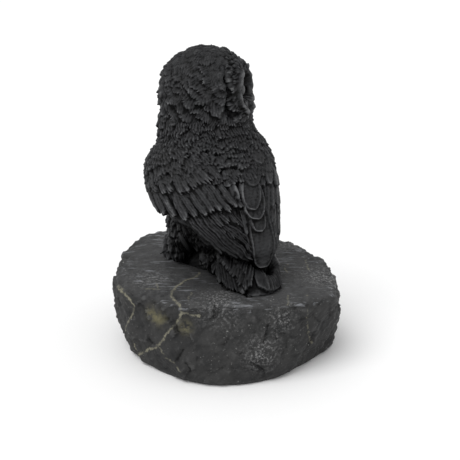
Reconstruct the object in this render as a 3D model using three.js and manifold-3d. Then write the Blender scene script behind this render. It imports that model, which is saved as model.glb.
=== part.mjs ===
// An owl figurine cast from ground shungite, glued on a rough piece of shungite rock.
// Millimetres, +Z up. The origin is at the middle of the rock's flat underside. The owl's breast faces -Y,
// its tail points to +Y and its left side is +X, and its head looks back over its right shoulder.

import * as THREE from "three";
import { mergeVertices } from "three/addons/utils/BufferGeometryUtils.js";
import Module from "manifold-3d";

// Driving dimensions
const OWL_HEIGHT = 86; // from the rock's top to the crown
const STONE_HEIGHT = 31; // the rock, from its underside to its sawn top
const OWL_PLACE = [0.2, 5.2]; // the owl's own origin, left and back of the rock's middle
const STONE_RADIUS = 40.5; // mean radius of the rock's top
const STONE_EDGE = 3.2; // height over which the rock's upper edge is worn round
const STONE_FOOT_EDGE = 1.6; // the same at its underside
const EYE_RADIUS = 3.1;
const BEAK_LENGTH = 8.5;
const TOE_RADIUS = 2.3;

// The owl's pose and proportions are in hundredths of its height.
const H = OWL_HEIGHT / 100;
const TAU = 2 * Math.PI;

const wasm = await Module();
wasm.setup();

// Curves through tables of stations

// Column `column` of a table whose rows start with their place, by a smooth curve through the rows.
function through(rows, place, column) {
  const last = rows.length - 1;
  let i = 0;
  while (i < last - 1 && place > rows[i + 1][0]) i++;
  const slope = (k) => {
    const a = rows[Math.max(k - 1, 0)];
    const b = rows[Math.min(k + 1, last)];
    return (b[column] - a[column]) / (b[0] - a[0]);
  };
  const [x0, x1] = [rows[i][0], rows[i + 1][0]];
  const span = x1 - x0;
  const t = THREE.MathUtils.clamp((place - x0) / span, 0, 1);
  const [y0, y1] = [rows[i][column], rows[i + 1][column]];
  const [m0, m1] = [slope(i) * span, slope(i + 1) * span];
  return (
    y0 * (1 + 2 * t) * (1 - t) ** 2 + m0 * t * (1 - t) ** 2 + y1 * t * t * (3 - 2 * t) + m1 * t * t * (t - 1)
  );
}

// A value from a list spaced evenly round a circle, at an angle in turns.
function round(list, turn) {
  const n = list.length;
  const at = (((turn % 1) + 1) % 1) * n;
  const i = Math.floor(at);
  const t = at - i;
  const [a, b, c, d] = [-1, 0, 1, 2].map((k) => list[(i + k + n) % n]);
  return b + 0.5 * t * (c - a + t * (2 * a - 5 * b + 4 * c - d + t * (3 * (b - c) + d - a)));
}

const bump = (x, width) => Math.exp(-((x / width) ** 2));

// A smooth step from 0 where x is `from` to 1 where it is `to`, whichever of the two is the larger.
function ease(from, to, x) {
  const t = THREE.MathUtils.clamp((x - from) / (to - from), 0, 1);
  return t * t * (3 - 2 * t);
}

const mix = THREE.MathUtils.lerp;

// Closed solids from reshaped three.js geometries

function solid(geometry) {
  geometry.deleteAttribute("normal");
  geometry.deleteAttribute("uv");
  const merged = mergeVertices(geometry, 1e-4);
  const vertProperties = new Float32Array(merged.attributes.position.array);
  const triVerts = new Uint32Array(merged.index.array);
  const made = new wasm.Manifold(new wasm.Mesh({ numProp: 3, vertProperties, triVerts }));
  if (made.volume() > 0) return made;
  // A shape whose placing mirrors it comes out inside out, so its triangles are turned round.
  return new wasm.Manifold(new wasm.Mesh({ numProp: 3, vertProperties, triVerts: triVerts.reverse() }));
}

// A sphere whose vertices go to place(turn, rise): turn is once round +Z, and rise is 0 at the bottom pole, 1 at the top.
function ball(around, along, place) {
  const geometry = new THREE.SphereGeometry(1, around, along);
  const { position, uv } = geometry.attributes;
  for (let i = 0; i < position.count; i++) {
    const p = place(uv.getX(i) % 1, uv.getY(i));
    position.setXYZ(i, p.x, p.y, p.z);
  }
  return solid(geometry);
}

// A box whose vertices go to place(across, along, outer): across and along run from 0 to 1, and outer is 1 or 0.
function slab(columns, rings, place) {
  const geometry = new THREE.BoxGeometry(1, 1, 1, columns, rings, 1);
  const { position } = geometry.attributes;
  for (let i = 0; i < position.count; i++) {
    const p = place(position.getX(i) + 0.5, position.getY(i) + 0.5, position.getZ(i) > 0 ? 1 : 0);
    position.setXYZ(i, p.x, p.y, p.z);
  }
  return solid(geometry);
}

// A unit direction on a ball, from its turn and rise.
function heading(turn, rise) {
  const [a, e] = [TAU * turn, Math.PI * (rise - 0.5)];
  const level = rise === 0 || rise === 1 ? 0 : Math.cos(e);
  return [level * Math.sin(a), -level * Math.cos(a), Math.sin(e)];
}

// A point from the owl's own axes: to its left, towards its back, and up from the rock.
const onStone = (x, y, z) =>
  new THREE.Vector3(x * H + OWL_PLACE[0], y * H + OWL_PLACE[1], z * H + STONE_HEIGHT);

// The body, a leaning column of ellipses from the rock's top into the head

// height, middle towards the left, middle towards the back, half width, half depth
const BODY = [
  [0, 0, -4, 6.6, 12.5],
  [7, 0, -4, 8.4, 13],
  [14, 0, -3.8, 13.4, 15.6],
  [21, 0, -4, 18.4, 19.4],
  [30, 0.6, -6.5, 22.3, 22],
  [42, 1.4, -10.5, 24, 22.6],
  [51, 1.8, -13.4, 23.4, 21.4],
  [60, 2.2, -16.4, 20.8, 20],
  [67, 2.4, -18, 19.3, 19.3],
  [70, 2.3, -18.3, 18.4, 18.4],
  [74, 2.2, -18.5, 15, 15],
  [78, 2, -18.6, 9, 9],
];

// Angles are in degrees from the middle of the back towards the owl's left side.
function onBody(angle, height, standoff) {
  const a = THREE.MathUtils.degToRad(angle);
  const [left, back, width, depth] = [1, 2, 3, 4].map((column) => through(BODY, height, column));
  return onStone(left + (width + standoff) * Math.sin(a), back + (depth + standoff) * Math.cos(a), height);
}

function body() {
  const top = BODY.at(-1)[0];
  const rings = 18;
  return ball(32, rings, (turn, rise) => {
    const ring = Math.round(rise * rings);
    const height = (top * THREE.MathUtils.clamp(ring - 1, 0, rings - 2)) / (rings - 2);
    const capped = ring === 0 || ring === rings;
    return capped ? onStone(0, through(BODY, height, 2), height) : onBody(-360 * turn, height, 0);
  });
}

// Plumage: a slab bent over the body, its outer face stepped where each row of feathers ends

// place along the wing, then the angle round the body, the height and the stand-off of each edge
const LEFT_WING = [
  [0, 120, 56, -1.5, 52, 65, -1],
  [0.1, 122, 51, 3.6, 36, 61, 1],
  [0.22, 116, 44, 5.8, 20, 56, 1.5],
  [0.36, 104, 37, 6, 8, 49, 2.2],
  [0.5, 82, 33, 5.4, 1, 40.5, 2.6],
  [0.64, 55, 29.5, 5.6, 0, 32.5, 3.4],
  [0.78, 36, 22.3, 6.6, -2, 26, 4.8],
  [0.9, 14, 17.3, 7.6, -5, 20, 6.4],
  [1, -6, 12.5, 8.6, -9, 14.5, 8.2],
];
// The right wing is held closer, hangs straighter and lies over the edge of the left one.
const RIGHT_WING = [
  [0, 120, 56, -1.5, 52, 65, -1],
  [0.1, 122, 51, 1.7, 34, 61, 1],
  [0.22, 117, 44, 2.2, 16, 56, 1.5],
  [0.36, 106, 36.5, 2.4, 4.5, 49, 2.4],
  [0.5, 90, 31.5, 1.8, -2.5, 41, 3.6],
  [0.64, 70, 27, 2.6, -4, 32, 5.2],
  [0.78, 54, 20.5, 5.6, -3.5, 25, 7],
  [0.9, 40, 13.5, 9.8, 0, 18, 9.4],
  [1, 22, 9.5, 11.8, 7, 11.5, 12],
];

function onWing(side, across, along, lift) {
  const rows = side > 0 ? LEFT_WING : RIGHT_WING;
  const [lowAngle, lowHeight, lowOff, highAngle, highHeight, highOff] = [1, 2, 3, 4, 5, 6].map((column) =>
    through(rows, along, column),
  );
  const crown = 1.2 * Math.sin(Math.PI * across) - 1.5 * bump(across, 0.05);
  const off = mix(lowOff, highOff, across) + crown + lift;
  return onBody(side * mix(lowAngle, highAngle, across), mix(lowHeight, highHeight, across), off);
}

// feathers in the row, where their tips end along the wing, how far the tips are rounded, how proud they stand
const WING_ROWS = [
  [5, 0.22, 0.035, 0.9],
  [5, 0.37, 0.04, 1.2],
  [5, 0.56, 0.045, 1.5],
  [5, 0.74, 0.05, 1.2],
  [3, 0.87, 0.04, 1.2],
];
const WING_COLUMNS = 15;
const WING_DEPTH = 3;

function wing(side) {
  // Each row of feathers has a ring at its root, one half way, and one on each side of the step at its tips.
  const rings = [[0, 0, 0]];
  let from = 0;
  WING_ROWS.forEach(([count, tip, rounding, proud]) => {
    const scallop = [count, rounding];
    rings.push([mix(from, tip, 0.5), 0.55 * proud, 0, ...scallop]);
    rings.push([tip - 0.012, proud, 1, ...scallop]);
    rings.push([tip, 0.15 * proud, 1, ...scallop]);
    from = tip;
  });
  rings.push([0.94, 0.8, 0, 1, 0], [1, 0.2, 0, 1, 0]);
  const last = rings.length - 1;
  return slab(WING_COLUMNS, last, (across, along, outer) => {
    const [place, proud, warp, count = 1, rounding = 0] = rings[Math.round(along * last)];
    const feather = Math.abs(Math.sin(Math.PI * count * across));
    const s = place - warp * rounding * (1 - feather);
    const a = side > 0 ? across : 1 - across;
    const rows = side > 0 ? LEFT_WING : RIGHT_WING;
    const edge = mix(through(rows, s, 3), through(rows, s, 6), a);
    // The inner face stays in the body, and comes clear of it only at the tips.
    const inner = mix(-WING_DEPTH - edge, -WING_DEPTH, ease(0.7, 1, s));
    return onWing(side, a, s, outer ? proud * (0.45 + 0.55 * feather) : inner);
  });
}

// Rows of feathers laid on the neck, the back and the breast

// middle angle, spread to each side, height of the upper edge, height of the lower edge, stand-off low down
const CAPE = { middle: 0, spread: 70, top: 74, bottom: 45.5, stand: 3 };
const BREAST = { middle: 180, spread: 72, top: 70, bottom: 15, stand: 0.4 };

// feathers in the row, the height of their tips, how proud they stand
const CAPE_ROWS = [
  [7, 65, 1],
  [7, 56.5, 1.2],
  [7, 48, 1.4],
];
const CAPE_RISE = [66, 48]; // heights between which the cape and the breast come to stand off
const BREAST_ROWS = [
  [5, 60, 0.9],
  [5, 48, 1.1],
  [5, 35, 1.2],
  [5, 22, 1.2],
];

function plumage({ middle, spread, top, bottom, stand }, rows) {
  const rings = [[top, -1, 0, 1]];
  let from = top;
  rows.forEach(([count, tip, proud]) => {
    rings.push([mix(from, tip, 0.5), 0.6 * proud, 0, count]);
    rings.push([tip + 0.8, proud, 1, count]);
    rings.push([tip, 0.2 * proud, 1, count]);
    from = tip;
  });
  rings.push([bottom, -1, 0, 1]);
  const last = rings.length - 1;
  return slab(3 * rows[0][0], last, (across, along, outer) => {
    const [height, proud, warp, count] = rings[Math.round((1 - along) * last)];
    const feather = Math.abs(Math.sin(Math.PI * count * across));
    const z = height + warp * 2.2 * (1 - feather);
    const rim = Math.abs(2 * across - 1) ** 4;
    const lift = stand * ease(...CAPE_RISE, z) * (1 - 0.3 * rim) + proud * (0.5 + 0.5 * feather) - 1.5 * rim;
    return onBody(middle + mix(spread, -spread, across), z, outer ? lift : -4);
  });
}

// The tail, a fan of long feathers that slopes down to the rock

// place from the rump to the end, distance towards the back, middle towards the left, half width, height
const TAIL = [
  [0, 3, -1.5, 6, 20],
  [0.15, 9, -2.2, 10, 21],
  [0.3, 14, -2.6, 11.9, 19],
  [0.6, 20.5, -3.9, 11.2, 13],
  [0.85, 25.5, -4.6, 9.2, 7],
  [1, 29.5, -4.8, 8, 0.8],
];
const TAIL_FEATHERS = 5;

function tail() {
  return slab(TAIL_FEATHERS * 3, 8, (across, along, outer) => {
    const [back, left, half, height] = [1, 2, 3, 4].map((column) => through(TAIL, along, column));
    const side = 1 - 2 * across;
    const groove = Math.abs(Math.sin(Math.PI * TAIL_FEATHERS * across));
    // The right wing's tip rests in a hollow.
    const hollow = 0.55 * bump(side + 0.45, 0.4) * bump(along - 0.55, 0.3);
    const crown = height * (1 - 0.22 * side * side) * (1 - hollow) - 0.8 * (1 - groove) * (1 - 0.6 * along);
    return onStone(left + side * half, back - 4 * along * side * side, outer ? Math.max(crown, 0.6) : 0);
  });
}

// Head and face

const HEAD_MIDDLE = [1.2, -18.4, 80.2];
const HEAD_TURN = 106; // degrees from the breast's direction towards the owl's right
const HEAD_RADII = [19.6, 19.6, 18]; // to the side, to the front, up
const NAPE = 45; // how far down the head runs into the neck
const RUFF_ANGLE = 84; // degrees from straight ahead to the rim of the face
const DISH = [50, 34]; // the same to the upper and the lower edge of the hollow round the eyes
const [EYE_SIDE, EYE_RISE] = [0.34, 0.04]; // direction of an eye from the head's middle, aside and up

// The distance from the head's middle to its surface, in a direction given in the head's own axes.
function headReach(left, ahead, up) {
  const tall = up > 0 ? HEAD_RADII[2] : NAPE;
  const shell = 1 / Math.hypot(left / HEAD_RADII[0], ahead / HEAD_RADII[1], up / tall);
  const off = THREE.MathUtils.radToDeg(Math.acos(THREE.MathUtils.clamp(ahead, -1, 1)));
  const edge = off + 1.6 * Math.sin(9 * Math.atan2(up, left)) - RUFF_ANGLE;
  const level = ease(0.75, 0.4, up) * ease(-0.75, -0.4, up);
  const ruff = (0.6 * bump(edge, 6) - 1.6 * bump(edge + 10, 4)) * level;
  // The face is dished on both sides of a ridge that runs from the forehead to the beak.
  const ridge = bump(left, 0.14 + 0.3 * Math.max(up, 0));
  const dish = -2.4 * ease(...DISH, off) * (1 - ridge);
  const fromEye = Math.hypot(Math.abs(left) - EYE_SIDE, up - EYE_RISE);
  const socket = -2.2 * bump(fromEye, 0.17) * ease(0.2, 0.6, ahead);
  const rim = bump(fromEye - 0.32, 0.06) * ease(0.2, 0.6, ahead);
  return shell + ruff + dish + socket + rim;
}

// A point given in the head's own axes: to the owl's left, ahead, and up.
function onHead(left, ahead, up) {
  const turn = THREE.MathUtils.degToRad(HEAD_TURN);
  const [x, y, z] = HEAD_MIDDLE;
  return onStone(
    x + left * Math.cos(turn) - ahead * Math.sin(turn),
    y - left * Math.sin(turn) - ahead * Math.cos(turn),
    z + up,
  );
}

function head() {
  return ball(40, 22, (turn, rise) => {
    const [left, ahead, up] = heading(turn, rise);
    const reach = headReach(left, ahead, up);
    return onHead(left * reach, ahead * reach, up * reach);
  });
}

function eye(side) {
  const middle = onHead(side * 6.4, 14.2, 0.7);
  return ball(10, 8, (turn, rise) => new THREE.Vector3(...heading(turn, rise)).multiplyScalar(EYE_RADIUS).add(middle));
}

function beak() {
  const length = BEAK_LENGTH / H;
  return ball(8, 8, (turn, rise) => {
    const a = TAU * turn;
    const down = 1 - rise;
    const girth = 2.6 * Math.sqrt(Math.sin(Math.PI * rise)) * (0.4 + 0.6 * rise);
    const out = 18.2 + 1.6 * Math.sin(Math.PI * down ** 0.8) - 1.6 * down;
    return onHead(girth * Math.sin(a), out - girth * Math.cos(a), 2.5 - down * length);
  });
}

// Legs and feet

// An ellipsoid with its own half sizes, leaning by `lean` towards the front and turned round +Z by `turned` degrees.
function tuft(middle, half, lean = 0, turned = 0) {
  const a = THREE.MathUtils.degToRad(turned);
  return ball(10, 7, (turn, rise) => {
    const [x, y, z] = heading(turn, rise);
    const [across, along, up] = [half[0] * x, half[1] * y, half[2] * z];
    const left = middle[0] + across * Math.cos(a) - along * Math.sin(a);
    const back = middle[1] + across * Math.sin(a) + along * Math.cos(a) + lean * up;
    return onStone(left, back, Math.max(middle[2] + up, 0));
  });
}

// Down that the legs and the tail share: middle and half sizes, lean and turn, for the left side
const THIGH = [[13.6, -13, 24], [8, 11, 15], 0.3, 0];
const SHANK = [[12.8, -20.5, 10.2], [5.4, 7, 10.4], 0.12, 0];
const INSTEP = [[13.4, -29, 3.8], [4.6, 6.8, 5.6], 0, 0];
const HAUNCH = [[7.5, -17.5, 0.6], [4.3, 14.5, 7.2], 0, 22];
const UNDERTAIL = [[6.6, 0.6, 8.6], [4.6, 7, 7.6], 0, 0];
const HEEL = [11, -22]; // where the toes meet, left and back

function leg(side) {
  const mirrored = ([middle, half, lean, turned]) =>
    tuft([side * middle[0], middle[1], middle[2]], half, lean, side * turned);
  const radius = TOE_RADIUS / H;
  const toes = [-1, 0, 1].map((toe) => {
    const splay = THREE.MathUtils.degToRad(side * 12 + 26 * toe);
    return ball(7, 6, (turn, rise) => {
      const [x, y, z] = heading(turn, rise);
      const reach = 6.5 * z + 5.5;
      return onStone(
        side * HEEL[0] + reach * Math.sin(splay) + radius * x * Math.cos(splay),
        HEEL[1] - reach * Math.cos(splay) + radius * x * Math.sin(splay),
        Math.max(radius * (0.8 + y), 0),
      );
    });
  });
  return [...[THIGH, SHANK, INSTEP, HAUNCH, UNDERTAIL].map(mirrored), ...toes];
}

// The smooth feather that hangs from the left thigh, from its upper to its lower end
const HANGING = [[18.8, -7.3, 19.4], [14.4, -5.6, 12.1]];

function hangingFeather() {
  return ball(10, 8, (turn, rise) => {
    const [x, y, z] = heading(turn, rise);
    const share = 0.5 - 0.5 * z;
    const [left, back, up] = [0, 1, 2].map((k) => mix(HANGING[0][k], HANGING[1][k], share));
    const wide = 1.8 * (1 - 0.45 * share);
    return onStone(left + 1.4 * x, back + wide * y, up + 0.6 * wide * y + z);
  });
}

// The rock, from rings of radii round its top, its middle and its underside, as shares of its radius

const STONE_TOP = [1.04, 0.92, 0.88, 0.94, 1.14, 1.09, 1.0, 1.04, 1.14, 1.23, 1.17, 1.02];
const STONE_MIDDLE = [1.0, 0.95, 0.95, 0.99, 1.06, 1.12, 1.09, 1.04, 1.1, 1.17, 1.14, 1.04];
const STONE_FOOT = [0.9, 0.9, 0.94, 0.95, 0.94, 1.07, 1.08, 1.0, 1.05, 1.1, 1.08, 0.97];
const STONE_COLUMNS = 44;
const STONE_SEAT = 0.8; // share of the radius inside which the sawn top is dead flat

function stone() {
  const rings = 12;
  const [footRing, topRing] = [3, 8];
  return ball(STONE_COLUMNS, rings, (turn, rise) => {
    const ring = Math.round(rise * rings);
    const reach = [STONE_FOOT, STONE_MIDDLE, STONE_TOP].map((list) => STONE_RADIUS * round(list, turn));
    const level = THREE.MathUtils.clamp((ring - footRing) / (topRing - footRing), 0, 1);
    const side = level < 0.5 ? mix(reach[0], reach[1], 2 * level) : mix(reach[1], reach[2], 2 * level - 1);
    const chips = 0.5 * Math.sin(TAU * (7 * turn + 1.3 * level)) + 0.4 * Math.sin(TAU * (11 * turn - 0.8 * level));
    let [radius, height] = [side + chips, mix(STONE_FOOT_EDGE, STONE_HEIGHT - STONE_EDGE, level)];
    if (ring < footRing) {
      radius = (reach[0] - STONE_FOOT_EDGE) * (ring / (footRing - 1));
      height = 0;
    } else if (ring > topRing) {
      const inward = (ring - topRing) / (rings - topRing);
      radius = inward === 1 ? 0 : reach[2] * mix(0.98, STONE_SEAT, (inward - 0.25) * 2);
      height = inward < 0.4 ? STONE_HEIGHT - 0.9 : STONE_HEIGHT;
    }
    const a = TAU * turn;
    return new THREE.Vector3(radius * Math.cos(a), radius * Math.sin(a), height);
  });
}

// Assembly

function mesh(name, shape, material) {
  const made = shape.getMesh();
  const geometry = new THREE.BufferGeometry();
  geometry.setAttribute("position", new THREE.BufferAttribute(made.vertProperties, 3));
  geometry.setIndex(new THREE.BufferAttribute(made.triVerts, 1));
  geometry.computeVertexNormals();
  const part = new THREE.Mesh(geometry, material);
  part.name = name;
  return part;
}

const rock = stone();
const { min, max } = rock.boundingBox();
const centre = [-(min[0] + max[0]) / 2, -(min[1] + max[1]) / 2, 0];

const pieces = [
  body(),
  wing(1),
  wing(-1),
  plumage(CAPE, CAPE_ROWS),
  plumage(BREAST, BREAST_ROWS),
  tail(),
  head(),
  eye(1),
  eye(-1),
  beak(),
  ...leg(1),
  ...leg(-1),
  hangingFeather(),
];
const joined = pieces.reduce((whole, piece) => whole.add(piece));
// Pockets shut in between overlapping feathers are filled.
const owl = wasm.Manifold.compose(joined.decompose().filter((shell) => shell.volume() > 0));

const cast = new THREE.MeshStandardMaterial({ color: 0x262628, roughness: 0.55, metalness: 0 });
const rough = new THREE.MeshStandardMaterial({ color: 0x35363a, roughness: 0.7, metalness: 0 });

const figurine = new THREE.Group();
figurine.add(mesh("owl_figurine", owl.translate(centre), cast));
figurine.add(mesh("stone_base", rock.translate(centre), rough));

export default figurine;
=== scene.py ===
# The owl's carved plumage, the rough stone, their materials, the light and the camera.
# Lengths are in millimetres until a mesh is made, and then in metres.

import math

import bpy
import numpy as np
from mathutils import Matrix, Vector
from mathutils.bvhtree import BVHTree


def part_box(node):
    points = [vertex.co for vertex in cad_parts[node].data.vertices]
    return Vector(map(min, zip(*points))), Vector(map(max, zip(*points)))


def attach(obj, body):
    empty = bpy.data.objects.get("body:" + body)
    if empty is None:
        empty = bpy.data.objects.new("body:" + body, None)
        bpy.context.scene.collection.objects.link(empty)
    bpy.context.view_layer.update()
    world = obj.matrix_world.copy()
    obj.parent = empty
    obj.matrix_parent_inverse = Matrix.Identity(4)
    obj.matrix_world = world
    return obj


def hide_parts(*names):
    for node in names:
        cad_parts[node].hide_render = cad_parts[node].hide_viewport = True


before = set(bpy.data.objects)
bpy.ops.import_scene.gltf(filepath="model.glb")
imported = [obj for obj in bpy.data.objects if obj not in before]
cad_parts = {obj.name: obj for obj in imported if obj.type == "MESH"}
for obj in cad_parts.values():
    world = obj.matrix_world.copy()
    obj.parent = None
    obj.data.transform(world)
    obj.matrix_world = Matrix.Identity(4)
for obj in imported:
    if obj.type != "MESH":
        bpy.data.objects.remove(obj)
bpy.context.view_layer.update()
rng = np.random.default_rng(11)

# Sizes shared with the solids
OWL_HEIGHT = 86.0
OWL_PLACE = (0.96, 9.3)
STONE_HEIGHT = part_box("stone_base")[1].z * 1000
STONE_RADIUS = 40.5
STONE_PLACE = (0.76, 4.1)
STONE_EDGE = 3.2
STONE_FOOT_EDGE = 1.6
EYE_RADIUS = 3.1
BEAK_LENGTH = 8.5
TOE_RADIUS = 2.3

# The owl's pose and proportions are in hundredths of its height.
H = OWL_HEIGHT / 100

# Distance between the points of the carved surfaces
PITCH = 0.36
OWL_FACES = 190000
EDGE = 0.35  # width of the worn edge of each feather


# Curves


def ease(start, end, x):
    """A smooth step from 0 where x is start to 1 where it is end, whichever is the larger."""
    t = np.clip((x - start) / (end - start), 0, 1)
    return t * t * (3 - 2 * t)


def bump(x, width):
    return np.exp(-((x / width) ** 2))


def mix(a, b, t):
    return a + (b - a) * t


def through(rows, place, column):
    """A smooth curve through a column of a table whose rows start with their place."""
    table = np.asarray(rows, float)
    x, y = table[:, 0], table[:, column]
    slope = np.empty(len(x))
    slope[1:-1] = (y[2:] - y[:-2]) / (x[2:] - x[:-2])
    slope[0] = (y[1] - y[0]) / (x[1] - x[0])
    slope[-1] = (y[-1] - y[-2]) / (x[-1] - x[-2])
    place = np.clip(place, x[0], x[-1])
    i = np.clip(np.searchsorted(x, place, side="right") - 1, 0, len(x) - 2)
    span = x[i + 1] - x[i]
    t = (place - x[i]) / span
    rise = y[i] * (1 + 2 * t) * (1 - t) ** 2 + y[i + 1] * t * t * (3 - 2 * t)
    return rise + span * (slope[i] * t * (1 - t) ** 2 + slope[i + 1] * t * t * (t - 1))


def around(values, turn):
    """A smooth curve through values spaced evenly round a circle, at an angle in turns."""
    values = np.asarray(values, float)
    n = len(values)
    at = (turn % 1) * n
    i = np.floor(at).astype(int)
    t = at - i
    a, b, c, d = (values[(i + k) % n] for k in (-1, 0, 1, 2))
    return b + 0.5 * t * (c - a + t * (2 * a - 5 * b + 4 * c - d + t * (3 * (b - c) + d - a)))


def ripple(points, wavelength, seed):
    """Smooth noise of about -1 to 1 over points."""
    waves = np.random.default_rng(seed)
    total = np.zeros(points.shape[:-1])
    for _ in range(10):
        way = waves.normal(size=3)
        way *= 2 * math.pi / (wavelength * waves.uniform(0.7, 1.5) * np.linalg.norm(way))
        total += np.sin(points @ way + waves.uniform(0, 6.3))
    return total / 3.2


# The owl's bare form, as in the solids


def on_stone(x, y, z):
    """Points from the owl's own axes: to its left, towards its back, and up from the rock."""
    x, y, z = np.broadcast_arrays(x, y, z)
    return np.stack([x * H + OWL_PLACE[0], y * H + OWL_PLACE[1], z * H + STONE_HEIGHT], axis=-1)


# height, middle towards the left, middle towards the back, half width, half depth
BODY = [
    [0, 0, -4, 6.6, 12.5],
    [7, 0, -4, 8.4, 13],
    [14, 0, -3.8, 13.4, 15.6],
    [21, 0, -4, 18.4, 19.4],
    [30, 0.6, -6.5, 22.3, 22],
    [42, 1.4, -10.5, 24, 22.6],
    [51, 1.8, -13.4, 23.4, 21.4],
    [60, 2.2, -16.4, 20.8, 20],
    [67, 2.4, -18, 19.3, 19.3],
    [70, 2.3, -18.3, 18.4, 18.4],
    [74, 2.2, -18.5, 15, 15],
    [78, 2, -18.6, 9, 9],
]
BODY_TOP = 78

# place along the wing, then the angle round the body, the height and the stand-off of each edge
LEFT_WING = [
    [0, 120, 56, -1.5, 52, 65, -1],
    [0.1, 122, 51, 3.6, 36, 61, 1],
    [0.22, 116, 44, 5.8, 20, 56, 1.5],
    [0.36, 104, 37, 6, 8, 49, 2.2],
    [0.5, 82, 33, 5.4, 1, 40.5, 2.6],
    [0.64, 55, 29.5, 5.6, 0, 32.5, 3.4],
    [0.78, 36, 22.3, 6.6, -2, 26, 4.8],
    [0.9, 14, 17.3, 7.6, -5, 20, 6.4],
    [1, -6, 12.5, 8.6, -9, 14.5, 8.2],
]
RIGHT_WING = [
    [0, 120, 56, -1.5, 52, 65, -1],
    [0.1, 122, 51, 1.7, 34, 61, 1],
    [0.22, 117, 44, 2.2, 16, 56, 1.5],
    [0.36, 106, 36.5, 2.4, 4.5, 49, 2.4],
    [0.5, 90, 31.5, 1.8, -2.5, 41, 3.6],
    [0.64, 70, 27, 2.6, -4, 32, 5.2],
    [0.78, 54, 20.5, 5.6, -3.5, 25, 7],
    [0.9, 40, 13.5, 9.8, 0, 18, 9.4],
    [1, 22, 9.5, 11.8, 7, 11.5, 12],
]

CAPE_SPREAD = 70
CAPE_TOP, CAPE_BOTTOM = 74, 45.5
CAPE_STAND = 3

# place from the rump to the end, distance towards the back, middle towards the left, half width, height
TAIL = [
    [0, 3, -1.5, 6, 20],
    [0.15, 9, -2.2, 10, 21],
    [0.3, 14, -2.6, 11.9, 19],
    [0.6, 20.5, -3.9, 11.2, 13],
    [0.85, 25.5, -4.6, 9.2, 7],
    [1, 29.5, -4.8, 8, 0.8],
]

HEAD_MIDDLE = (1.2, -18.4, 80.2)
HEAD_TURN = math.radians(106)
HEAD_RADII = (19.6, 19.6, 18)
NAPE = 45
EYE_SIDE, EYE_RISE = 0.34, 0.04
RUFF_ANGLE = 84


def on_body(angle, height, off):
    a = np.radians(angle)
    left, back, width, depth = (through(BODY, height, column) for column in (1, 2, 3, 4))
    return on_stone(left + (width + off) * np.sin(a), back + (depth + off) * np.cos(a), height)


def body_surface(u, v):
    return on_body(360 * u, BODY_TOP * (1 - v), 0)


def cape_surface(u, v):
    z = mix(CAPE_TOP, CAPE_BOTTOM, v)
    rim = np.abs(2 * u - 1) ** 4
    stand = CAPE_STAND * ease(66, 48, z) * (1 - 0.3 * rim) - 1.5 * rim
    return on_body(mix(CAPE_SPREAD, -CAPE_SPREAD, u), z, stand)


def wing_surface(side, lift=0.0):
    wing = LEFT_WING if side > 0 else RIGHT_WING

    def surface(u, v):
        low_angle, low_height, low_off, high_angle, high_height, high_off = (
            through(wing, v, column) for column in (1, 2, 3, 4, 5, 6)
        )
        angle, height = mix(low_angle, high_angle, u), mix(low_height, high_height, u)
        off = mix(low_off, high_off, u) + 1.2 * np.sin(math.pi * u) - 1.5 * bump(u, 0.05)
        return on_body(side * angle, height, off + lift)

    return surface


def wing_lining(side):
    """The wing's inner face, which stays in the body and comes clear of it only at the tips."""

    wing = LEFT_WING if side > 0 else RIGHT_WING

    def surface(u, v):
        edge = mix(through(wing, v, 3), through(wing, v, 6), u)
        return wing_surface(side, mix(-3 - edge, -3, ease(0.7, 1, v)))(u, v)

    return surface


def tail_surface(u, v):
    """Across from the foot of the left wall, over the top, to the foot of the right wall."""
    back, left, half, height = (through(TAIL, v, column) for column in (1, 2, 3, 4))
    top = np.clip((u - 0.2) / 0.6, 0, 1)
    side = 1 - 2 * top
    wall = np.minimum(u / 0.2, (1 - u) / 0.2)
    hollow = 0.66 * bump(side + 0.45, 0.42) * bump(v - 0.55, 0.3)
    crown = height * (1 - 0.22 * side**2) * (1 - hollow)
    z = crown * np.sin(np.clip(wall, 0, 1) * math.pi / 2)
    return on_stone(left + side * half + 0 * z, back - 4 * v * side**2, z)


def head_reach(left, ahead, up):
    tall = np.where(up > 0, HEAD_RADII[2], NAPE)
    shell = 1 / np.sqrt((left / HEAD_RADII[0]) ** 2 + (ahead / HEAD_RADII[1]) ** 2 + (up / tall) ** 2)
    off = np.degrees(np.arccos(np.clip(ahead, -1, 1)))
    edge = off + 1.6 * np.sin(9 * np.arctan2(up, left)) - RUFF_ANGLE
    ruff = 0.5 * bump(edge, 6) - 2.0 * bump(edge + 11, 4)
    ruff = ruff * ease(0.75, 0.4, up) * ease(-0.75, -0.4, up)
    ridge = bump(left, 0.08 + 0.08 * ease(0, 0.2, up) + 0.3 * np.maximum(up, 0))
    dish = -2.4 * ease(50, 34, off) * (1 - ridge)
    from_eye = np.hypot(np.abs(left) - EYE_SIDE, up - EYE_RISE)
    socket = -3.6 * ease(0.46, 0.3, from_eye) * ease(0.2, 0.6, ahead) * ease(0.02, 0.14, np.abs(left))
    rim = 1.4 * bump(from_eye - 0.47, 0.04) * ease(0.2, 0.5, ahead) * ease(0.3, 0.5, np.abs(left))
    chin = -1.4 * bump(up + 0.3, 0.045) * ease(0.75, 0.95, ahead)
    brow = 0.7 * bump(left, 0.2) * ease(0.6, 0.85, ahead)
    return shell + ruff + dish + socket + rim + chin + brow


def on_head(left, ahead, up):
    x, y, z = HEAD_MIDDLE
    sine, cosine = math.sin(HEAD_TURN), math.cos(HEAD_TURN)
    return on_stone(x + left * cosine - ahead * sine, y - left * sine - ahead * cosine, z + up)


def heading(turn, rise):
    a, e = 2 * math.pi * turn, math.pi * (rise - 0.5)
    return np.cos(e) * np.sin(a), -np.cos(e) * np.cos(a), np.sin(e)


def head_surface(turn, rise):
    left, ahead, up = heading(turn, rise)
    reach = head_reach(left, ahead, up)
    return on_head(left * reach, ahead * reach, up * reach)


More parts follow.
